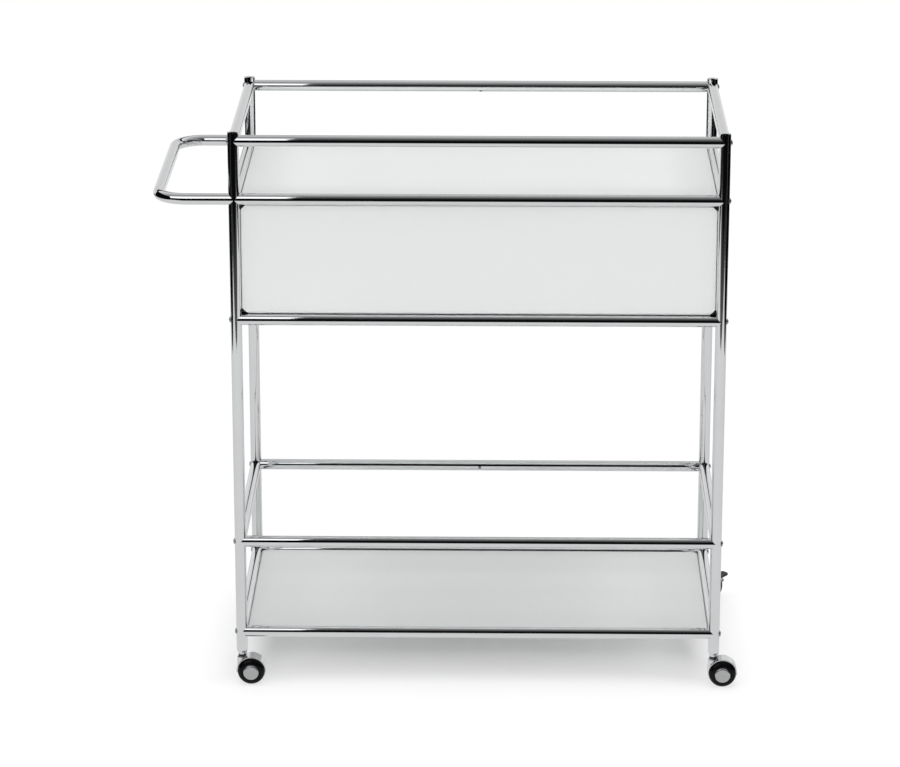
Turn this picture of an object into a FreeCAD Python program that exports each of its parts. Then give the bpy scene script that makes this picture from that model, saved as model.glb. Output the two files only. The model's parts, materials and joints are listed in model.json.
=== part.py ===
import FreeCAD, Part
import math
import os

# Bar cart: a chromed tube frame with powder-coated sheet panels, a drop-down front
# flap, a U handle at one end and four twin-wheel casters, the back two with brakes.
# X runs along the cart with the handle at -X, -Y is the front, Z is up from the floor.
# All sub-parts are built about the middle of the frame, then moved so that the origin
# lies on the floor under the middle of the whole cart, handle and brake pedals included.
# Every length is in millimetres.

V = FreeCAD.Vector
X, Y, Z = V(1, 0, 0), V(0, 1, 0), V(0, 0, 1)

# Frame
WIDTH = 760.0  # between post axes, along X
DEPTH = 380.0  # between post axes, along Y
TUBE_R = 9.0
TUBE_WALL = 1.3
LEVELS = {"shelf": 87.0, "guard": 241.0, "bay": 611.0, "tray": 806.0, "gallery": 899.0}
POST_BOTTOM = 56.2
POST_TOP = 913.0
CAP_DOME = 1.1
CAP_PLUG = 9.0
COPE_GAP = 0.05  # between a rail's saddle end and the post
HANDLE_REACH = 121.0  # from the post axis to the axis of the grip
HANDLE_BEND = 46.0
DRAIN_R = 2.6
DRAIN_TILT = {"shelf": 90.0, "guard": 8.0, "bay": 90.0, "tray": 90.0, "gallery": 55.0}

# Fasteners inside the tubes
BOLT_R = 2.5
BOLT_HOLE_R = 2.6
BOLT_HEAD_R = 4.75
BOLT_HEAD_RISE = 2.75
BOLT_HEAD_SINK = 2.0  # of the saddle under the head, into the post's outline
BOLT_DOME_R = 7.4
BOLT_REACH = 26.0  # from the post axis to the tip
BOLT_ROOT = 0.5  # of the shank, inside the head
HEX_R = 1.75
HEX_DEPTH = 2.0
INSERT_START = 9.4
INSERT_END = 29.0
INSERT_R = 7.68

NEAR = 0.01  # tolerance for picking edges

# Sheet panels
SHEET = 1.2
FOLD_R = 1.5
FLANGE = 10.0
CORNER_CLIP = 7.5
FLAT_INSET = 9.3  # edge of a lying panel from the tube axis
UPRIGHT_INSET = 9.4  # edge of a standing panel from the tube axis
FLAT_RISE = 3.0  # show face of a lying panel above the tube axis
UPRIGHT_RISE = 2.0  # show face of a standing panel outside the tube axis
CLIP_SINK = 0.6
CLIP_DEPTH = 9.0
CLIP_GAP = 0.4
CLIP_TONGUE = 20.0
CLIP_REACH = 1.5  # past the panel edge, into the gap between the tubes
TONGUE_THICK = 2.0

# Front flap, its pivots and its touch latches
FLAP_GAP = 0.2  # more room under the flap than a fixed panel has
PIVOT_R = 5.0  # the flap's lower fold is round about the pivot
PIVOT_NOSE_R = 3.4
PIVOT_BACK = 9.0
PIVOT_BLOCK_X = WIDTH / 2 - 15.0
FLAP_LOW_CLIP = 10.0  # wider clip at the flap's lower corners, clear of its pivots
PIVOT_BLOCK_END = WIDTH / 2 - 8.0
PEG_R = 2.0
PEG_START = WIDTH / 2 - TUBE_R - 0.2
PEG_LENGTH = 3.0
PIN_R = 1.5
PIN_FIT = 0.05
PIN_RELIEF = 0.2  # of its hole, past its end
PIN_START = WIDTH / 2 - 27.5
PIN_END = WIDTH / 2 - 10.0
EAR_X = WIDTH / 2 - 23.5
EAR_THICK = 1.6
EAR_SIZE = 12.0
LATCH_X = WIDTH / 2 - 24.0
LATCH_DROP = 17.2  # plunger axis below the tray rail
PLUNGER_R = 3.0
PLUNGER_FIT = 0.06
PLUNGER_GAP = 0.1
PLUNGER_LENGTH = 32.0
PLUNGER_ROOM = 5.0  # of its bore, behind it
LATCH_HALF_WIDTH = 6.0
LATCH_RISE = 5.6  # of the housing above the plunger axis
LATCH_SETBACK = 4.8  # of the housing behind the plunger's tip
LATCH_LENGTH = 36.0
LATCH_WEDGE = 16.0

# Casters: swivel axis on the post axis, wheels trailing along +X unless turned
SWIVEL = {("back", "right"): 40.0}  # degrees, counterclockwise seen from above
TRAIL = 14.5
WHEEL_R = 22.0
WHEEL_IN = 6.8  # wheel faces, from the middle of the caster
WHEEL_OUT = 18.8
WHEEL_FIT = 0.05
WHEEL_HUB_R = 6.0
WHEEL_HOLLOW_R = 16.8
WHEEL_HOLLOW_Y = 12.5
TREAD_IN = 9.2
TREAD_OUT = 9.8
WHEEL_CORNER = ((1.4, 0.0), (0.4, 0.9))  # inner edge: below the tread, out from the face
HUB_STEP = 0.5  # of the hub, past the inner face
HOLLOW_FLARE = 0.6
LIP = 1.0  # round the cap's recess
LIP_SINK = 0.5
AXLE_R = 3.0
AXLE_HALF = 16.2
CAP_R = 12.55
CAP_GAP = 0.1
CAP_FLOOR = 16.4
CAP_RIM = 18.5  # where the cap's rolled shoulder starts
CAP_SHOULDER = 2.9
CAP_OUT = CAP_RIM + CAP_SHOULDER
HOOD_IN_R = 22.6
HOOD_OUT_R = 23.9
HOOD_HALF = 12.0
HOOD_EDGE = 0.5
HOOD_SKIRT_Z = 19.8
WEB_HALF = 6.0
WEB_BOTTOM_Z = 11.5
BOSS_R = 8.5
BOSS_BOTTOM = 14.0
BOSS_TOP = 44.3
BOSS_EDGE = 0.8
STEM_R = 4.0
STEM_FIT = 0.06
STEM_BOTTOM = 24.0
STEM_TOP = 82.0
COLLAR_R = 6.1
COLLAR_BOTTOM = 44.5
COLLAR_TOP = 45.2
NECK_R = 6.4
NECK_TOP = 48.5
NECK_CLEAR = 0.6  # from the fender
ADAPTER_R = 6.7
ADAPTER_EDGE = 0.4
ADAPTER_FLARE = (0.3, 2.0)  # wider by, at this height above the neck
ADAPTER_RIM = 0.6
ADAPTER_PLUG_TOP = 83.5

# Brake pedal on the trailing side of a back caster's hood
PEDAL_PIVOT = V(TRAIL + 24.4, 0, 29.0)
PEDAL_PIN_R = 1.8
PEDAL_PIN_HALF = 11.3
PEDAL_FIT = 0.06
PEDAL_BARREL_R = 2.8
PEDAL_REACH = 17.5
PEDAL_HALF = 8.6
PEDAL_BACK = 1.0  # of the foot and neck, from the pivot towards the wheels
PEDAL_FRONT = 1.6
PEDAL_NECK_HALF = 6.0
PEDAL_FOOT_Z = 19.6
PADDLE_HEEL = 2.0
PADDLE_HEEL_Z = (31.6, 34.2)  # under side and top
PADDLE_TOE_Z = (34.4, 36.8)
PADDLE_ROUND = 5.0
LUG_IN = 8.9
LUG_OUT = 11.5
LUG_R = 3.6
LUG_ROOT = TRAIL + 16.0
WINDOW_START = TRAIL + 19.0
WINDOW_TOP = 36.4
WINDOW_HALF = 8.8

HALF_W, HALF_D = WIDTH / 2, DEPTH / 2
SIDES = {"left": -1, "right": 1}
ENDS = {"front": -1, "back": 1}
CORNERS = [(end, side) for end in ENDS for side in SIDES]

# The cart reaches furthest at the handle's grip, at the front wheel caps and, to the
# right and to the back, at the rounded corners of the turned caster's brake pedal.
TURN = math.radians(SWIVEL[("back", "right")])
CORNER_X = PEDAL_PIVOT.x + PEDAL_REACH - PADDLE_ROUND
CORNER_Y = PEDAL_HALF - PADDLE_ROUND
BOX_LEFT = -HALF_W - HANDLE_REACH - TUBE_R
BOX_RIGHT = HALF_W + CORNER_X * math.cos(TURN) + CORNER_Y * math.sin(TURN) + PADDLE_ROUND
BOX_FRONT = -HALF_D - CAP_OUT
BOX_BACK = HALF_D + CORNER_X * math.sin(TURN) + CORNER_Y * math.cos(TURN) + PADDLE_ROUND
CENTRE = V(-(BOX_LEFT + BOX_RIGHT) / 2, -(BOX_FRONT + BOX_BACK) / 2, 0)


def rod(radius, start, end):
    """Solid round bar between two points."""
    return Part.makeCylinder(radius, (end - start).Length, start, end - start)


def tube(start, end):
    return rod(TUBE_R, start, end).cut(rod(TUBE_R - TUBE_WALL, start, end))


def block(low, high):
    """Box between two opposite corners, given in any order."""
    base = V(min(low.x, high.x), min(low.y, high.y), min(low.z, high.z))
    size = [abs(high[i] - low[i]) for i in range(3)]
    return Part.makeBox(*size, base)


def prism(points, push):
    """Flat outline pushed along a vector."""
    return Part.Face(Part.makePolygon(points + points[:1])).extrude(push)


def turned(outline, axis_start, axis_dir):
    """Solid of revolution of a closed outline: points, and (middle, end) pairs for arcs."""
    edges = []
    here = outline[0]
    for step in outline[1:] + outline[:1]:
        if isinstance(step, tuple):
            middle, there = step
            edges.append(Part.Arc(here, middle, there).toShape())
        else:
            there = step
            edges.append(Part.LineSegment(here, there).toShape())
        here = there
    return Part.Face(Part.Wire(edges)).revolve(axis_start, axis_dir, 360)


def join(shapes):
    first, *rest = shapes
    return first.fuse(rest).removeSplitter() if rest else first


def post_axis(end, side):
    return V(SIDES[side] * HALF_W, ENDS[end] * HALF_D, 0)


def cope(end, side):
    """The space a post takes from whatever meets it."""
    foot = post_axis(end, side)
    return rod(TUBE_R + COPE_GAP, foot, foot + Z * POST_TOP)


def mitre(corner, along, aside):
    """The far side of the upright plane halfway between two rails that meet at a post."""
    reach = 2 * TUBE_R
    outline = [corner, corner + aside * reach, corner + (along + aside) * reach]
    return prism(outline, Z * (POST_TOP + CAP_DOME))


def long_rail_ends(end, level):
    z = LEVELS[level]
    return V(-HALF_W, ENDS[end] * HALF_D, z), V(HALF_W, ENDS[end] * HALF_D, z)


def side_rail_ends(side, level):
    z = LEVELS[level]
    return V(SIDES[side] * HALF_W, -HALF_D, z), V(SIDES[side] * HALF_W, HALF_D, z)


# ---------------------------------------------------------------- tube frame


def post(end, side):
    """Upright tube, drilled through for the rail bolts and for the flap's pivot peg."""
    foot = post_axis(end, side)
    shape = tube(foot + Z * POST_BOTTOM, foot + Z * POST_TOP)
    for z in LEVELS.values():
        at = foot + Z * z
        shape = shape.cut(rod(BOLT_HOLE_R, at - X * 2 * TUBE_R, at + X * 2 * TUBE_R))
    if end == "front":
        peg = V(foot.x, foot.y, pivot_point().z)
        shape = shape.cut(rod(PEG_R, peg, peg - X * SIDES[side] * 2 * TUBE_R))
    return shape


def long_rail(end, level):
    """Front or back rail with saddle ends, mitred against the side rails."""
    start, stop = long_rail_ends(end, level)
    inward = Y * -ENDS[end]
    shape = tube(start, stop)
    for side in SIDES:
        along = X * -SIDES[side]
        shape = shape.cut(cope(end, side)).cut(mitre(post_axis(end, side), along, inward))
    tilt = math.radians(DRAIN_TILT[level])
    middle = (start + stop) / 2
    out = inward * math.cos(tilt) - Z * math.sin(tilt)
    return shape.cut(rod(DRAIN_R, middle, middle + out * 2 * TUBE_R))


def side_rails(side):
    """The five rails welded between the two posts of one end of the cart."""
    rails = []
    inward = X * -SIDES[side]
    for level in LEVELS:
        start, stop = side_rail_ends(side, level)
        shape = tube(start, stop)
        for end in ENDS:
            corner, along = post_axis(end, side), Y * -ENDS[end]
            shape = shape.cut(cope(end, side)).cut(mitre(corner, along, inward))
            if (side, level) == ("left", "tray"):
                shape = shape.cut(mitre(corner, along, -inward))
        rails.append(shape)
    return rails


def handle():
    """U-shaped grip whose legs meet the two left posts at tray height."""
    z = LEVELS["tray"]
    grip_x = -HALF_W - HANDLE_REACH
    bend = HANDLE_BEND
    far = bend * (1 - math.sqrt(0.5))
    points = [
        V(-HALF_W, -HALF_D, z),
        V(grip_x + bend, -HALF_D, z),
        V(grip_x + far, -HALF_D + far, z),
        V(grip_x, -HALF_D + bend, z),
    ]
    back = [V(p.x, -p.y, z) for p in reversed(points)]
    edges = [
        Part.LineSegment(points[0], points[1]).toShape(),
        Part.Arc(points[1], points[2], points[3]).toShape(),
        Part.LineSegment(points[3], back[0]).toShape(),
        Part.Arc(back[0], back[1], back[2]).toShape(),
        Part.LineSegment(back[2], back[3]).toShape(),
    ]
    path = Part.Wire(edges)
    swept = []
    for radius in (TUBE_R, TUBE_R - TUBE_WALL):
        ring = Part.Wire(Part.makeCircle(radius, points[0], X))
        swept.append(path.makePipeShell([ring], True, False))
    shape = swept[0].cut(swept[1])
    for end in ENDS:
        inward = Y * -ENDS[end]
        corner = post_axis(end, "left")
        shape = shape.cut(cope(end, "left")).cut(mitre(corner, -X, inward))
    return shape


def post_caps():
    """Domed plugs that close the tops of the posts."""
    caps = []
    sphere_r = (TUBE_R**2 + CAP_DOME**2) / (2 * CAP_DOME)
    for end, side in CORNERS:
        top = post_axis(end, side) + Z * POST_TOP
        dome = Part.makeSphere(sphere_r, top + Z * (CAP_DOME - sphere_r))
        dome = dome.common(rod(TUBE_R, top, top + Z * CAP_DOME))
        caps.append(join([dome, rod(TUBE_R - TUBE_WALL, top, top - Z * CAP_PLUG)]))
    return caps


def bolt(at, into):
    """Button-head bolt through a post, its head shaped to sit on the tubes."""
    seat = at - into * (TUBE_R - BOLT_HEAD_SINK)
    crown = at - into * (TUBE_R + BOLT_HEAD_RISE)
    head = rod(BOLT_HEAD_R, seat, crown)
    for run in (Y, Z):
        reach = run * 2 * TUBE_R
        head = head.cut(rod(TUBE_R + COPE_GAP, at - reach, at + reach))
    head = head.common(Part.makeSphere(BOLT_DOME_R, crown + into * BOLT_DOME_R))
    socket = prism(
        [crown + (Y * math.cos(k * math.pi / 3) + Z * math.sin(k * math.pi / 3)) * HEX_R
         for k in range(6)],
        into * HEX_DEPTH,
    )
    shank = rod(BOLT_R, at - into * (TUBE_R + BOLT_ROOT), at + into * BOLT_REACH)
    return join([head, shank]).cut(socket)


def frame_bolts():
    """A bolt at each end of each long rail; a stud where the handle covers the post."""
    bolts = []
    for end, side in CORNERS:
        for level, z in LEVELS.items():
            at = post_axis(end, side) + Z * z
            into = X * -SIDES[side]
            if (side, level) == ("left", "tray"):
                bolts.append(rod(BOLT_R, at - into * BOLT_REACH, at + into * BOLT_REACH))
            else:
                bolts.append(bolt(at, into))
    return bolts


def insert(at, into):
    """Threaded plug inside a tube end."""
    plug = rod(INSERT_R, at + into * INSERT_START, at + into * INSERT_END)
    return plug.cut(rod(BOLT_R, at, at + into * (INSERT_END + 1)))


def rail_inserts():
    plugs = []
    for end, side in CORNERS:
        for level, z in LEVELS.items():
            at = post_axis(end, side) + Z * z
            into = X * -SIDES[side]
            plugs.append(insert(at, into))
            if (side, level) == ("left", "tray"):
                plugs.append(insert(at, -into))
    return plugs


# ---------------------------------------------------------------- sheet panels


def rounded_slab(length, height, depth, fold, low_fold):
    """Slab under Z = 0 with its four upper edges rounded, the -Y one by low_fold."""
    slab = block(V(-length / 2, -height / 2, -depth), V(length / 2, height / 2, 0))
    top = [e for e in slab.Edges if all(abs(v.Z) < NEAR for v in e.Vertexes)]
    low = [e for e in top if all(v.Y < 0 for v in e.Vertexes)]
    rest = [e for e in top if not any(e.isSame(f) for f in low)]
    if abs(fold - low_fold) < NEAR:
        return slab.makeFillet(fold, top)
    return slab.makeFillet(fold, rest).common(slab.makeFillet(low_fold, low))


def clipped_outline(length, height, clip, low_clip):
    a, b, low = length / 2, height / 2, low_clip
    return [
        V(-a + low, -b, 0), V(a - low, -b, 0), V(a, -b + low, 0), V(a, b - clip, 0),
        V(a - clip, b, 0), V(-a + clip, b, 0), V(-a, b - clip, 0), V(-a, -b + low, 0),
    ]


def pan(length, height, low_fold=FOLD_R, low_clip=CORNER_CLIP):
    """Sheet with a return flange on each side and clipped corners; show face at Z = 0."""
    outer = rounded_slab(length, height, FLANGE, FOLD_R, low_fold)
    inner = rounded_slab(
        length - 2 * SHEET, height - 2 * SHEET, FLANGE, FOLD_R - SHEET, low_fold - SHEET
    )
    inner.translate(-Z * SHEET)
    outline = clipped_outline(length, height, CORNER_CLIP, low_clip)
    return outer.cut(inner).common(prism(outline, -Z * FLANGE))


def seat(centre, right, up):
    """Placement that turns a panel's X to right and its Y to up, at a centre point."""
    out = right.cross(up)
    turn = FreeCAD.Matrix(
        right.x, up.x, out.x, centre.x,
        right.y, up.y, out.y, centre.y,
        right.z, up.z, out.z, centre.z,
        0, 0, 0, 1,
    )
    return FreeCAD.Placement(turn)


def seated(shape, place):
    moved = shape.copy()
    moved.Placement = place.multiply(moved.Placement)
    return moved


PANEL_LENGTH = WIDTH - 2 * FLAT_INSET
PANEL_DEPTH = DEPTH - 2 * FLAT_INSET
BAY_MIDDLE = (LEVELS["tray"] + LEVELS["bay"]) / 2
BAY_HEIGHT = LEVELS["tray"] - LEVELS["bay"] - 2 * UPRIGHT_INSET
LONG_UPRIGHT = WIDTH - 2 * UPRIGHT_INSET
SIDE_UPRIGHT = DEPTH - 2 * UPRIGHT_INSET


def fixed_panels():
    """Size and place of every panel that clips into the frame, by name."""
    panels = {}
    for name, level in (("top_tray", "tray"), ("bay_floor", "bay"), ("bottom_shelf", "shelf")):
        centre = Z * (LEVELS[level] + FLAT_RISE)
        panels[name] = [(PANEL_LENGTH, PANEL_DEPTH, seat(centre, X, Y))]
    back = V(0, HALF_D + UPRIGHT_RISE, BAY_MIDDLE)
    panels["back_panel"] = [(LONG_UPRIGHT, BAY_HEIGHT, seat(back, -X, Z))]
    panels["side_panels"] = [
        (SIDE_UPRIGHT, BAY_HEIGHT, seat(V(s * (HALF_W + UPRIGHT_RISE), 0, BAY_MIDDLE), Y * s, Z))
        for s in SIDES.values()
    ]
    return panels


def solid_tubes():
    """The whole space each post and rail takes, for fitting the clips round them."""
    rods = [cope(end, side) for end, side in CORNERS]
    for level in LEVELS:
        rods += [rod(TUBE_R + COPE_GAP, *long_rail_ends(end, level)) for end in ENDS]
        rods += [rod(TUBE_R + COPE_GAP, *side_rail_ends(side, level)) for side in SIDES]
    return rods


def trimmed(shape, rods):
    """A clip with the tubes cut away, without the crumbs left beyond them."""
    near = [r for r in rods if r.BoundBox.intersect(shape.BoundBox)]
    return max(shape.cut(near).Solids, key=lambda solid: solid.Volume)


def corner_wedge(length, height, sx, sy, depth):
    """Wedge in the clipped corner of a panel, reaching out between the tubes."""
    a, b = length / 2, height / 2
    reach = CLIP_REACH
    outline = [
        V(a - CORNER_CLIP + CLIP_GAP, b + CLIP_GAP, 0),
        V(a + reach, b + reach, 0),
        V(a + CLIP_GAP, b - CORNER_CLIP + CLIP_GAP, 0),
        V(a - CLIP_GAP, b - CORNER_CLIP + 2 * CLIP_GAP, 0),
        V(a - CORNER_CLIP + 2 * CLIP_GAP, b - CLIP_GAP, 0),
    ]
    outline = [V(p.x * sx, p.y * sy, -CLIP_SINK) for p in outline]
    return prism(outline, -Z * depth)


def panel_clips():
    """Plastic corner clips: a wedge against the post and a tongue under the sheet."""
    rods = solid_tubes()
    clips = []
    for panels in fixed_panels().values():
        for length, height, place in panels:
            for sx in (-1, 1):
                for sy in (-1, 1):
                    wedge = corner_wedge(length, height, sx, sy, CLIP_DEPTH)
                    edge = SHEET + 1.0
                    tongue = block(
                        V(sx * (length / 2 - edge), sy * (height / 2 - edge), -SHEET),
                        V(sx * (length / 2 - CLIP_TONGUE), sy * (height / 2 - CLIP_TONGUE),
                          -SHEET - TONGUE_THICK),
                    )
                    clips.append(trimmed(seated(join([wedge, tongue]), place), rods))
    return clips


# ---------------------------------------------------------------- front flap


def flap_bottom():
    return LEVELS["bay"] + UPRIGHT_INSET + FLAP_GAP


def flap_height():
    return LEVELS["tray"] - UPRIGHT_INSET - flap_bottom()


def flap_face():
    return -HALF_D - UPRIGHT_RISE


def pivot_point():
    """Where the flap turns, on the middle plane of the cart."""
    return V(0, flap_face() + PIVOT_R, flap_bottom() + PIVOT_R)


def flap_place():
    middle = flap_bottom() + flap_height() / 2
    return seat(V(0, flap_face(), middle), X, Z)


def front_flap():
    """Drop-down front with an ear near each lower corner for its hinge pin."""
    sheet = pan(LONG_UPRIGHT, flap_height(), PIVOT_R, FLAP_LOW_CLIP)
    shape = seated(sheet, flap_place())
    envelope = seated(
        rounded_slab(LONG_UPRIGHT, flap_height(), FLANGE, FOLD_R, PIVOT_R), flap_place()
    )
    pivot = pivot_point()
    ears = []
    for s in SIDES.values():
        inner = V(s * (EAR_X - EAR_THICK / 2), flap_face() + SHEET / 2, flap_bottom() + SHEET / 2)
        outer = V(s * (EAR_X + EAR_THICK / 2), flap_face() + FLANGE, flap_bottom() + EAR_SIZE)
        ears.append(block(inner, outer).common(envelope))
    shape = join([shape] + ears)
    return shape.cut(rod(PIN_R, pivot - X * HALF_W, pivot + X * HALF_W))


def flap_pins():
    pivot = pivot_point()
    return [
        rod(PIN_R, pivot + X * s * PIN_START, pivot + X * s * PIN_END) for s in SIDES.values()
    ]


def flap_pivots():
    """Plastic bearing blocks pegged into the front posts."""
    pivot = pivot_point()
    blocks = []
    for side, s in SIDES.items():
        start, stop = pivot + X * s * PIVOT_BLOCK_X, pivot + X * s * PIVOT_BLOCK_END
        nose = rod(PIVOT_NOSE_R, start, stop)
        back = block(start - Z * PIVOT_NOSE_R, stop + Z * PIVOT_NOSE_R + Y * PIVOT_BACK)
        body = join([nose, back]).cut(cope("front", side))
        peg_at = V(s * PEG_START, -HALF_D, pivot.z)
        peg = rod(PEG_R, peg_at, peg_at + X * s * PEG_LENGTH)
        hole = rod(PIN_R + PIN_FIT, start - X * s, pivot + X * s * (PIN_END + PIN_RELIEF))
        blocks.append(join([body.cut(hole), peg]))
    return blocks


def plunger_axis(s):
    return V(s * LATCH_X, flap_face() + SHEET + PLUNGER_GAP, LEVELS["tray"] - LATCH_DROP)


def latch_housings():
    """Touch-latch bodies wedged into the upper corners behind the flap."""
    rods = solid_tubes()
    place = flap_place()
    bodies = []
    for s in SIDES.values():
        tip = plunger_axis(s)
        wedge = corner_wedge(LONG_UPRIGHT, flap_height(), s, 1, LATCH_WEDGE)
        front = tip.y + LATCH_SETBACK
        body = block(
            V(s * (LATCH_X - LATCH_HALF_WIDTH), front, tip.z - LATCH_HALF_WIDTH),
            V(s * (LATCH_X + 2 * LATCH_HALF_WIDTH), front + LATCH_LENGTH, tip.z + LATCH_RISE),
        )
        bore = rod(PLUNGER_R + PLUNGER_FIT, tip, tip + Y * (PLUNGER_LENGTH + PLUNGER_ROOM))
        shape = join([seated(wedge, place), body])
        bodies.append(trimmed(shape.cut(bore), rods))
    return bodies


def latch_plungers():
    """Magnet-tipped rods that push the flap open."""
    return [
        rod(PLUNGER_R, plunger_axis(s), plunger_axis(s) + Y * PLUNGER_LENGTH)
        for s in SIDES.values()
    ]


# ---------------------------------------------------------------- casters


def caster_hood(braked):
    """Cast housing: a boss on the swivel axis, a web between the wheels and a fender."""
    axle = V(TRAIL, 0, WHEEL_R)
    side, web = Y * HOOD_HALF, Y * WEB_HALF
    shell = rod(HOOD_OUT_R, axle - side, axle + side)
    rims = [e for e in shell.Edges if e.Closed and abs(abs(e.CenterOfMass.y) - HOOD_HALF) < NEAR]
    fender = shell.makeFillet(HOOD_EDGE, rims).cut(rod(HOOD_IN_R, axle - side, axle + side))
    disc = rod((HOOD_IN_R + HOOD_OUT_R) / 2, axle - web, axle + web)
    boss = rod(BOSS_R, Z * BOSS_BOTTOM, Z * BOSS_TOP)
    rim = [e for e in boss.Edges if abs(e.CenterOfMass.z - BOSS_TOP) < NEAR and e.Closed]
    boss = boss.makeChamfer(BOSS_EDGE, rim)
    for s in (-1, 1):
        boss = boss.cut(rod(HOOD_IN_R, axle + web * s, axle + side * s))
    far = 3 * HOOD_OUT_R
    below = block(V(-far, -far, -far), V(far, far, WEB_BOTTOM_Z))
    skirt = block(V(-far, -far, -far), V(far, far, HOOD_SKIRT_Z))
    shape = join([fender.cut(skirt), disc.cut(below), boss])
    shape = shape.cut(rod(NECK_R + NECK_CLEAR, Z * BOSS_TOP, Z * POST_BOTTOM))
    shape = shape.cut(rod(STEM_R + STEM_FIT, Z * (STEM_BOTTOM - 1), Z * (BOSS_TOP + 1)))
    shape = shape.cut(rod(AXLE_R, axle - side, axle + side))
    return braked_hood(shape) if braked else shape


def braked_hood(shape):
    """Adds two lugs and a window for the brake pedal."""
    pivot = PEDAL_PIVOT
    axle = V(TRAIL, 0, WHEEL_R)
    gap = Y * WINDOW_HALF
    far = 2 * HOOD_OUT_R
    shape = shape.cut(block(
        V(WINDOW_START, 0, HOOD_SKIRT_Z - 1) - gap, V(TRAIL + far, 0, WINDOW_TOP) + gap
    ))
    lugs = []
    for s in (-1, 1):
        inner, outer = Y * s * LUG_IN, Y * s * LUG_OUT
        eye = rod(LUG_R, pivot + inner, pivot + outer)
        arm = block(V(LUG_ROOT, 0, pivot.z - LUG_R) + inner, pivot + Z * LUG_R + outer)
        lugs.append(join([eye, arm]).cut(rod(HOOD_IN_R, axle - Y * far, axle + Y * far)))
    hole = rod(PEDAL_PIN_R + PEDAL_FIT, pivot - Y * far, pivot + Y * far)
    return join([shape] + lugs).cut(hole)


def brake_pedal():
    """Rocking lever: a foot that faces the treads and a paddle for the toe."""
    pivot = PEDAL_PIVOT
    wide, narrow, pin_end = Y * PEDAL_HALF, Y * PEDAL_NECK_HALF, Y * PEDAL_PIN_HALF
    inner, outer = X * (pivot.x - PEDAL_BACK), X * (pivot.x + PEDAL_FRONT)
    barrel = rod(PEDAL_BARREL_R, pivot - wide, pivot + wide)
    pin = rod(PEDAL_PIN_R, pivot - pin_end, pivot + pin_end)
    foot = block(inner + Z * PEDAL_FOOT_Z - wide, outer + Z * pivot.z + wide)
    neck = block(inner + Z * pivot.z - narrow, outer + Z * PADDLE_HEEL_Z[1] + narrow)
    heel, toe = pivot.x - PADDLE_HEEL, pivot.x + PEDAL_REACH
    corners = [(heel, PADDLE_HEEL_Z[0]), (toe, PADDLE_TOE_Z[0]),
               (toe, PADDLE_TOE_Z[1]), (heel, PADDLE_HEEL_Z[1])]
    paddle = prism([V(x, -PEDAL_HALF, z) for x, z in corners], wide * 2)
    upright = [e for e in paddle.Edges if abs(e.CenterOfMass.x - toe) < NEAR and e.Length < PEDAL_HALF]
    return join([barrel, pin, foot, neck, paddle.makeFillet(PADDLE_ROUND, upright)])


def about_axle(profile, s):
    """Profile points (radius, distance from the caster's middle) placed on side s."""
    def place(point):
        return V(TRAIL, s * point[1], WHEEL_R + point[0])

    return [
        tuple(place(point) for point in step) if isinstance(step[0], tuple) else place(step)
        for step in profile
    ]


def on_ellipse(centre, radii, degrees):
    turn = math.radians(degrees)
    return centre[0] + radii[0] * math.cos(turn), centre[1] + radii[1] * math.sin(turn)


def caster_wheel(s):
    """Wheel with a domed outer face, hollow towards the web and recessed for its cap."""
    bore, recess, lip = AXLE_R + WHEEL_FIT, CAP_R + CAP_GAP, CAP_R + LIP
    hub = WHEEL_IN - HUB_STEP
    bulge = on_ellipse((lip, TREAD_OUT), (WHEEL_R - lip, WHEEL_OUT - TREAD_OUT), 45)
    profile = [
        (bore, hub), (WHEEL_HUB_R, hub), (WHEEL_HUB_R, WHEEL_HOLLOW_Y),
        (WHEEL_HOLLOW_R, WHEEL_HOLLOW_Y), (WHEEL_HOLLOW_R + HOLLOW_FLARE, WHEEL_IN),
        *[(WHEEL_R - drop, WHEEL_IN + step) for drop, step in WHEEL_CORNER],
        (WHEEL_R, TREAD_IN), (WHEEL_R, TREAD_OUT),
        (bulge, (lip, WHEEL_OUT)), (recess, WHEEL_OUT - LIP_SINK),
        (recess, CAP_FLOOR - CAP_GAP), (bore, CAP_FLOOR - CAP_GAP),
    ]
    return turned(about_axle(profile, s), V(TRAIL, 0, WHEEL_R), Y)


def wheel_cap(s):
    """Hub cap: a flat face with a rolled shoulder."""
    face_r = CAP_R - CAP_SHOULDER
    roll = on_ellipse((face_r, CAP_RIM), (CAP_SHOULDER, CAP_SHOULDER), 45)
    profile = [
        (0, CAP_FLOOR), (CAP_R, CAP_FLOOR), (CAP_R, CAP_RIM), (roll, (face_r, CAP_OUT)),
        (0, CAP_OUT),
    ]
    return turned(about_axle(profile, s), V(TRAIL, 0, WHEEL_R), Y)


def caster_axle():
    axle = V(TRAIL, 0, WHEEL_R)
    return rod(AXLE_R, axle - Y * AXLE_HALF, axle + Y * AXLE_HALF)


def caster_stem():
    """Swivel pin with a collar above the boss."""
    collar = rod(COLLAR_R, Z * COLLAR_BOTTOM, Z * COLLAR_TOP)
    return join([rod(STEM_R, Z * STEM_BOTTOM, Z * STEM_TOP), collar])


def neck_ring():
    ring = rod(NECK_R, Z * COLLAR_TOP, Z * NECK_TOP)
    return ring.cut(rod(STEM_R, Z * STEM_BOTTOM, Z * STEM_TOP))


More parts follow.
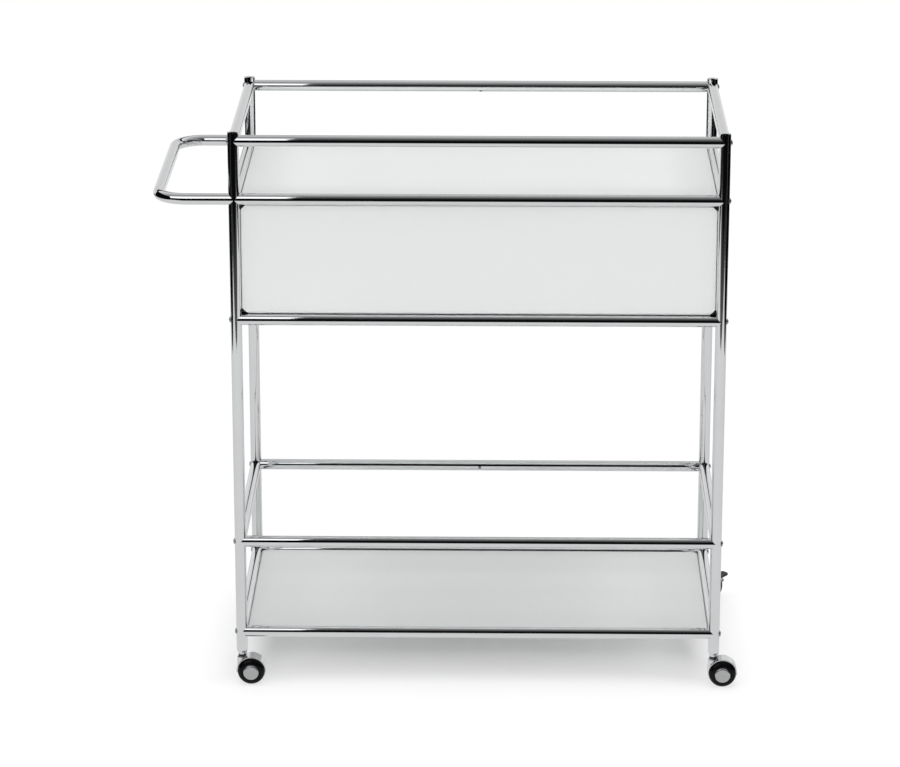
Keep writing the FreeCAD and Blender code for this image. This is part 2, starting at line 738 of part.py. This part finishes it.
def caster_adapter():
    """Tapered plug in the foot of a post that holds the stem."""
    wider, higher = ADAPTER_FLARE
    profile = [
        (STEM_R, NECK_TOP), (ADAPTER_R - ADAPTER_EDGE, NECK_TOP),
        (ADAPTER_R, NECK_TOP + ADAPTER_EDGE), (ADAPTER_R + wider, NECK_TOP + higher),
        (TUBE_R, POST_BOTTOM - ADAPTER_RIM), (TUBE_R, POST_BOTTOM),
        (TUBE_R - TUBE_WALL, POST_BOTTOM), (TUBE_R - TUBE_WALL, ADAPTER_PLUG_TOP),
        (STEM_R, ADAPTER_PLUG_TOP),
    ]
    return turned([V(r, 0, z) for r, z in profile], V(0, 0, 0), Z)


def at_posts(shape):
    """One copy of a shape under each post."""
    copies = []
    for end, side in CORNERS:
        copy = shape.copy()
        copy.translate(post_axis(end, side))
        copies.append(copy)
    return copies


def caster_nodes(end, side):
    """The turning pieces of one caster, by node name."""
    braked = end == "back"
    tag = f"{end}_{side}"
    nodes = {f"caster_hood_{tag}": caster_hood(braked), f"caster_axle_{tag}": caster_axle()}
    for name, s in (("front", -1), ("back", 1)):
        nodes[f"caster_wheel_{tag}_{name}"] = caster_wheel(s)
        nodes[f"wheel_cap_{tag}_{name}"] = wheel_cap(s)
    if braked:
        nodes[f"brake_pedal_{side}"] = brake_pedal()
    for shape in nodes.values():
        shape.rotate(V(0, 0, 0), Z, SWIVEL.get((end, side), 0.0))
        shape.translate(post_axis(end, side))
    return nodes


# ---------------------------------------------------------------- all nodes


def build():
    """Every node of the cart: a name and the list of its solids."""
    nodes = {}
    for end, side in CORNERS:
        nodes[f"post_{end}_{side}"] = [post(end, side)]
    for end in ENDS:
        for level in LEVELS:
            nodes[f"{end}_{level}_rail"] = [long_rail(end, level)]
    for side in SIDES:
        nodes[f"{side}_side_rails"] = side_rails(side)
    nodes["handle"] = [handle()]
    nodes["post_caps"] = post_caps()
    nodes["frame_bolts"] = frame_bolts()
    nodes["rail_inserts"] = rail_inserts()
    for name, panels in fixed_panels().items():
        nodes[name] = [seated(pan(length, height), place) for length, height, place in panels]
    nodes["panel_clips"] = panel_clips()
    nodes["front_flap"] = [front_flap()]
    nodes["flap_pins"] = flap_pins()
    nodes["flap_pivots"] = flap_pivots()
    nodes["latch_housings"] = latch_housings()
    nodes["latch_plungers"] = latch_plungers()
    nodes["caster_adapters"] = at_posts(caster_adapter())
    nodes["neck_rings"] = at_posts(neck_ring())
    nodes["caster_stems"] = at_posts(caster_stem())
    for end, side in CORNERS:
        nodes.update({name: [shape] for name, shape in caster_nodes(end, side).items()})
    return nodes


def main():
    os.makedirs("parts", exist_ok=True)
    for name, solids in build().items():
        shape = solids[0] if len(solids) == 1 else Part.makeCompound(solids)
        shape.translate(CENTRE)
        shape.exportStep(f"parts/{name}.step")
        count, box = len(shape.Solids), shape.BoundBox
        print(f"{name}: {count} solids, valid {shape.isValid()}, {shape.Volume:.0f} mm3, "
              f"z {box.ZMin:.1f} to {box.ZMax:.1f}")


main()
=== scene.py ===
import json
import math

import bpy
from mathutils import Euler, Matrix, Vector


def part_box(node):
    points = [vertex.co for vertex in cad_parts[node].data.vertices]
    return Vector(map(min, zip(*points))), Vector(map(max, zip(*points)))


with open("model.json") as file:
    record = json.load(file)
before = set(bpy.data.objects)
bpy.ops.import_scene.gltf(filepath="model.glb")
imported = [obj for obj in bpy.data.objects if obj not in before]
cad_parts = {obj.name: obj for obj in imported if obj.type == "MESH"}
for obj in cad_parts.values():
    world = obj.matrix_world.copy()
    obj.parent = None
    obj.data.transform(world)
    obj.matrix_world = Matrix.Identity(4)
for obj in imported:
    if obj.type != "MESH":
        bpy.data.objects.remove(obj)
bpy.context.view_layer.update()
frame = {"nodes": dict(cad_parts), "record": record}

# Stage, in metres from the frame's middle
WHITE = 1.02  # emission of the ground's far part and of the surround
FLOOR_SPAN = 60.0
SURROUND_REACH = 30.0
FADE_ASIDE = (0.34, 0.48)  # where the floor's paper starts and stops running out
FADE_FORWARD = (0.05, 0.29)
FLOOR_FRONT = 2.05  # reach of the floor that the chrome sees
FLOOR_BEYOND = 1.0  # reach of its dim edge past that
FLOOR_BACK = 3.1
FLOOR_WIDTH = 4.4
FLOOR_SINK = 0.0005  # of the unseen floors under the seen one

NODES = frame["nodes"]
RECORD = frame["record"]
SLOT_OF = {part["node"]: part["material_slot"] for part in RECORD["subparts"]}
FRONT_LEFT = sum(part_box("post_front_left"), Vector()) / 2
BACK_RIGHT = sum(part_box("post_back_right"), Vector()) / 2
MIDDLE = (FRONT_LEFT + BACK_RIGHT) / 2


# ---------------------------------------------------------------- materials


class Nodes:
    """A material's node tree with a few short ways to add to it."""

    def __init__(self, name):
        self.material = bpy.data.materials.new(name)
        self.material.use_nodes = True
        self.tree = self.material.node_tree
        self.shader = self.tree.nodes["Principled BSDF"]

    def add(self, kind, **values):
        node = self.tree.nodes.new(kind)
        for key, value in values.items():
            if hasattr(node, key):
                setattr(node, key, value)
            else:
                node.inputs[key.replace("_", " ")].default_value = value
        return node

    def link(self, source, target):
        self.tree.links.new(source, target)

    def set(self, **values):
        for key, value in values.items():
            self.shader.inputs[key.replace("_", " ")].default_value = value

    def coords(self, scale):
        """Object coordinates in metres, stretched by a scale along each axis."""
        place = self.add("ShaderNodeTexCoord")
        mapping = self.add("ShaderNodeMapping", Scale=scale)
        self.link(place.outputs["Object"], mapping.inputs["Vector"])
        return mapping.outputs["Vector"]

    def noise(self, scale, detail=2.0, stretch=(1, 1, 1)):
        node = self.add("ShaderNodeTexNoise", Scale=scale, Detail=detail)
        self.link(self.coords(stretch), node.inputs["Vector"])
        return node.outputs["Fac"]

    def between(self, value, low, high, start=0.3, stop=0.7):
        """The value's start-to-stop range mapped on to low-to-high."""
        node = self.add("ShaderNodeMapRange")
        for name, number in zip(("From Min", "From Max", "To Min", "To Max"),
                                (start, stop, low, high)):
            node.inputs[name].default_value = number
        self.link(value, node.inputs["Value"])
        return node.outputs["Result"]

    def blend(self, value, dark, light):
        """A colour that runs from dark to light with the value."""
        node = self.add("ShaderNodeMix", data_type="RGBA")
        node.inputs["A"].default_value = (*dark, 1)
        node.inputs["B"].default_value = (*light, 1)
        self.link(value, node.inputs["Factor"])
        return node.outputs["Result"]

    def bump(self, height, strength, distance):
        node = self.add("ShaderNodeBump", Strength=strength, Distance=distance)
        self.link(height, node.inputs["Height"])
        self.link(node.outputs["Normal"], self.shader.inputs["Normal"])


HAZE_DARK = 0.97  # of the plating's own colour
HAZE_ROUGH = (0.75, 1.3)  # of its own roughness


def chrome(name, colour, rough):
    """Plated steel: a faint haze, and waviness too slight to bend a reflection much."""
    m = Nodes(name)
    m.set(Metallic=1.0)
    haze = m.noise(scale=22.0, detail=3.0)
    dark = [c * HAZE_DARK for c in colour]
    m.link(m.blend(m.between(haze, 0.0, 1.0), dark, colour), m.shader.inputs["Base Color"])
    smoother, duller = (rough * factor for factor in HAZE_ROUGH)
    m.link(m.between(haze, smoother, duller), m.shader.inputs["Roughness"])
    m.bump(m.noise(scale=60.0, detail=1.0), strength=0.02, distance=0.0002)
    return m.material


def steel():
    """Fine-turned zinc-plated steel for fasteners and pins."""
    m = Nodes("bolt_steel")
    m.set(Metallic=1.0)
    grain = m.noise(scale=900.0, stretch=(1, 1, 0.2))
    m.link(m.blend(m.between(grain, 0.0, 1.0), (0.55, 0.56, 0.58), (0.72, 0.73, 0.75)),
           m.shader.inputs["Base Color"])
    m.link(m.between(grain, 0.18, 0.3), m.shader.inputs["Roughness"])
    m.bump(grain, strength=0.1, distance=0.0001)
    return m.material


def powder_coat():
    """Satin powder coat: a fine orange-peel surface over the sheet."""
    m = Nodes("panel_paint")
    tone = m.noise(scale=3.0)
    m.link(m.blend(m.between(tone, 0.0, 1.0), (0.690, 0.702, 0.698), (0.710, 0.721, 0.717)),
           m.shader.inputs["Base Color"])
    m.link(m.between(m.noise(scale=260.0), 0.34, 0.46), m.shader.inputs["Roughness"])
    m.bump(m.noise(scale=1400.0), strength=0.12, distance=0.00006)
    return m.material


def black_plastic():
    """Moulded nylon with a fine spark-eroded grain."""
    m = Nodes("black_plastic")
    grain = m.noise(scale=1500.0, detail=3.0)
    m.link(m.blend(m.between(grain, 0.0, 1.0), (0.004, 0.004, 0.0045), (0.010, 0.010, 0.011)),
           m.shader.inputs["Base Color"])
    m.link(m.between(grain, 0.38, 0.52), m.shader.inputs["Roughness"])
    m.bump(grain, strength=0.25, distance=0.0001)
    return m.material


def wheel_black():
    """Glossy moulded wheel, a little duller where the tread has run."""
    m = Nodes("wheel_black")
    wear = m.noise(scale=240.0, detail=3.0)
    m.link(m.blend(m.between(wear, 0.0, 1.0), (0.001, 0.001, 0.0015), (0.003, 0.003, 0.0035)),
           m.shader.inputs["Base Color"])
    m.set(Specular_IOR_Level=0.14)
    m.link(m.between(wear, 0.10, 0.2), m.shader.inputs["Roughness"])
    m.bump(wear, strength=0.06, distance=0.0001)
    return m.material


def cap_grey():
    """Satin metallised cap."""
    m = Nodes("cap_grey")
    m.set(Metallic=0.9)
    grain = m.noise(scale=1200.0)
    m.link(m.blend(m.between(grain, 0.0, 1.0), (0.46, 0.465, 0.47), (0.52, 0.525, 0.53)),
           m.shader.inputs["Base Color"])
    m.link(m.between(grain, 0.14, 0.2), m.shader.inputs["Roughness"])
    m.bump(grain, strength=0.15, distance=0.00005)
    return m.material


def make_materials():
    return {
        "chrome_tube": chrome("chrome_tube", (0.83, 0.84, 0.85), rough=0.035),
        "chrome_trim": chrome("chrome_trim", (0.82, 0.83, 0.84), rough=0.05),
        "caster_chrome": chrome("caster_chrome", (0.80, 0.81, 0.82), rough=0.06),
        "bolt_steel": steel(),
        "panel_paint": powder_coat(),
        "black_plastic": black_plastic(),
        "wheel_black": wheel_black(),
        "cap_grey": cap_grey(),
    }


def dress(materials):
    """Gives every CAD node the material of its slot."""
    for name, piece in NODES.items():
        piece.data.materials.clear()
        piece.data.materials.append(materials[SLOT_OF[name]])


# ---------------------------------------------------------------- studio


def quad(name, centre, width, depth, turn=(0, 0, 0)):
    """A flat stage piece; its local X is the width and its local Y the depth."""
    w, d = width / 2, depth / 2
    mesh = bpy.data.meshes.new(name)
    mesh.from_pydata([(-w, -d, 0), (w, -d, 0), (w, d, 0), (-w, d, 0)], [], [(0, 1, 2, 3)])
    piece = bpy.data.objects.new(name, mesh)
    piece.location = centre
    piece.rotation_euler = Euler([math.radians(a) for a in turn])
    bpy.context.scene.collection.objects.link(piece)
    return piece


def glow(name, near, far, depth):
    """Emission that runs from near to far along the piece's own Y, over its depth."""
    m = Nodes(name)
    place = m.add("ShaderNodeTexCoord")
    split = m.add("ShaderNodeSeparateXYZ")
    m.link(place.outputs["Object"], split.inputs[0])
    light = m.add("ShaderNodeEmission")
    m.link(m.between(split.outputs["Y"], near, far, -depth / 2, depth / 2),
           light.inputs["Strength"])
    m.link(light.outputs[0], m.tree.nodes["Material Output"].inputs["Surface"])
    m.tree.nodes.remove(m.shader)
    return m.material


def see_only(piece, camera=False, diffuse=False, glossy=False):
    """Hides a stage piece from every kind of ray but the named ones."""
    piece.visible_camera = camera
    piece.visible_diffuse = diffuse
    piece.visible_glossy = glossy
    piece.visible_shadow = False


def card(name, centre, width, depth, turn, near, far):
    """A glowing card that shows in gloss only; where it stands for a lit surface rather than
    a lamp, its glow is painted light.
    """
    piece = quad(name, centre, width, depth, turn)
    piece.data.materials.append(glow(name, near, far, depth))
    see_only(piece, glossy=True)


def floor_paper(name, dark, light):
    """Matt paper with a barely uneven tone."""
    m = Nodes(name)
    tone = m.noise(scale=2.0)
    m.link(m.blend(tone, [dark] * 3, [light] * 3), m.shader.inputs["Base Color"])
    m.set(Roughness=0.9, Specular_IOR_Level=0.1)
    return m


def fading_floor():
    """Paper under the object that runs out into an even white."""
    m = floor_paper("floor_paper", 0.93, 0.95)
    place = m.add("ShaderNodeTexCoord")
    split = m.add("ShaderNodeSeparateXYZ")
    m.link(place.outputs["Object"], split.inputs[0])
    further = m.add("ShaderNodeMath", operation="MAXIMUM")
    for k, (start, stop) in enumerate((FADE_ASIDE, FADE_FORWARD)):
        size = m.add("ShaderNodeMath", operation="ABSOLUTE")
        m.link(split.outputs[k], size.inputs[0])
        m.link(m.between(size.outputs[0], 0.0, 1.0, start, stop), further.inputs[k])
    white = m.add("ShaderNodeEmission", Strength=WHITE)
    mixer = m.add("ShaderNodeMixShader")
    m.link(further.outputs[0], mixer.inputs[0])
    m.link(m.shader.outputs[0], mixer.inputs[1])
    m.link(white.outputs[0], mixer.inputs[2])
    m.link(mixer.outputs[0], m.tree.nodes["Material Output"].inputs["Surface"])
    return m.material


def make_floor():
    """A wide floor for the eye, one that bounces light, and a glowing card of painted light
    that the gloss sees in place of the lit floor.
    """
    wide = quad("floor", (MIDDLE.x, MIDDLE.y, 0), FLOOR_SPAN, FLOOR_SPAN)
    wide.data.materials.append(fading_floor())
    see_only(wide, camera=True)
    middle = (MIDDLE.x, MIDDLE.y + FLOOR_BACK / 2 - FLOOR_FRONT / 2, -FLOOR_SINK)
    depth = FLOOR_FRONT + FLOOR_BACK
    bounce = quad("floor_bounce", middle, FLOOR_WIDTH, depth)
    bounce.data.materials.append(floor_paper("floor_bounce", 0.93, 0.95).material)
    see_only(bounce, diffuse=True)
    # painted light: the floor that the gloss sees is a glowing card, brighter towards the
    # front, standing in for the lit floor and showing no cast shadow
    card("floor_reflected", middle, FLOOR_WIDTH, depth, (0, 0, 0), near=0.76, far=0.62)
    # painted light: a dim glowing strip past its front edge, dark at the front and
    # brightening to 0.10 next to the card
    beyond = (MIDDLE.x, MIDDLE.y - FLOOR_FRONT - FLOOR_BEYOND / 2, -FLOOR_SINK)
    card("floor_beyond", beyond, FLOOR_WIDTH, FLOOR_BEYOND, (0, 0, 0), near=0.0, far=0.10)


def make_backdrop():
    """A white surround for the eye only, so that every view ends in pale ground."""
    away, size = SURROUND_REACH / 2, 2 * SURROUND_REACH
    for k in range(4):
        angle = math.radians(90 * k)
        centre = (MIDDLE.x + away * math.sin(angle), -away * math.cos(angle), 0)
        piece = quad(f"backdrop_{k}", centre, size, size, (90, 0, 90 * k))
        piece.data.materials.append(glow(f"backdrop_{k}", WHITE, WHITE, size))
        see_only(piece, camera=True)


def area_light(name, place, aim, width, depth, power):
    """A soft light in watts that doesn't show in gloss."""
    data = bpy.data.lights.new(name, "AREA")
    data.shape = "RECTANGLE"
    data.size, data.size_y = width, depth
    data.energy = power
    piece = bpy.data.objects.new(name, data)
    piece.location = place
    piece.rotation_euler = (Vector(aim) - Vector(place)).to_track_quat("-Z", "Y").to_euler()
    bpy.context.scene.collection.objects.link(piece)
    piece.visible_glossy = False


def make_lights():
    """Broad soft light for the paint, with light and dark cards for the gloss."""
    x = MIDDLE.x
    aim = (x, 0, 0.4)
    area_light("top_light", (x, 0.2, 3.6), (x, 0.2, 0), 5.0, 5.0, power=150.0)
    area_light("front_light", (x, -4.5, 1.4), (x, 0, 0.8), 5.0, 2.4, power=125.0)
    area_light("left_light", (-4.0, -1.0, 1.6), aim, 3.0, 2.4, power=60.0)
    area_light("right_light", (4.0, -1.0, 1.6), aim, 3.0, 2.4, power=70.0)
    area_light("back_light", (x, 4.0, 1.8), aim, 4.0, 3.0, power=90.0)
    card("ceiling_card", (x, 0.9, 3.4), 8.0, 5.0, (180, 0, 0), near=0.90, far=0.19)
    card("front_card", (x, -2.5, 2.69), 8.0, 2.29, (38.3, 0, 0), near=0.0, far=0.15)
    card("back_card", (x, 3.1, 1.2), 9.0, 2.4, (90, 0, 0), near=0.85, far=0.62)
    card("left_card", (x - 1.92, -1.825, 2.3), 3.0, 1.59, (61.8, 0, 0), near=1.3, far=1.3)
    for name, aside in (("left_strip", -2.1), ("right_strip", 2.1)):
        card(name, (x + aside, -1.35, 0.25), 0.12, 0.5, (90, 0, 0), near=0.4, far=0.3)


def make_world():
    """Dim studio that the chrome sees between the cards."""
    world = bpy.data.worlds.new("studio")
    world.use_nodes = True
    background = world.node_tree.nodes["Background"]
    background.inputs["Color"].default_value = (0.003, 0.003, 0.0035, 1)
    background.inputs["Strength"].default_value = 1.0
    bpy.context.scene.world = world


# ---------------------------------------------------------------- camera

CAMERA_BACK = 5.518  # in front of the front posts
CAMERA_HEIGHT = 2.263
CAMERA_ASIDE = 0.042  # to the right of the frame's middle
CAMERA_DOWN = 17.65
CAMERA_LEFT = 0.90
SENSOR_WIDTH = 36.0
FOCAL_LENGTH = 146.96


def make_camera():
    data = bpy.data.cameras.new("camera")
    data.sensor_width = SENSOR_WIDTH
    data.lens = FOCAL_LENGTH
    data.clip_end = 200.0
    camera = bpy.data.objects.new("camera", data)
    camera.location = (MIDDLE.x + CAMERA_ASIDE, FRONT_LEFT.y - CAMERA_BACK, CAMERA_HEIGHT)
    camera.rotation_euler = Euler(
        (math.radians(90 - CAMERA_DOWN), 0, math.radians(CAMERA_LEFT))
    )
    bpy.context.scene.collection.objects.link(camera)
    bpy.context.scene.camera = camera


def main():
    dress(make_materials())
    make_floor()
    make_backdrop()
    make_lights()
    make_world()
    make_camera()
    bpy.context.scene.view_settings.view_transform = "Standard"


main()
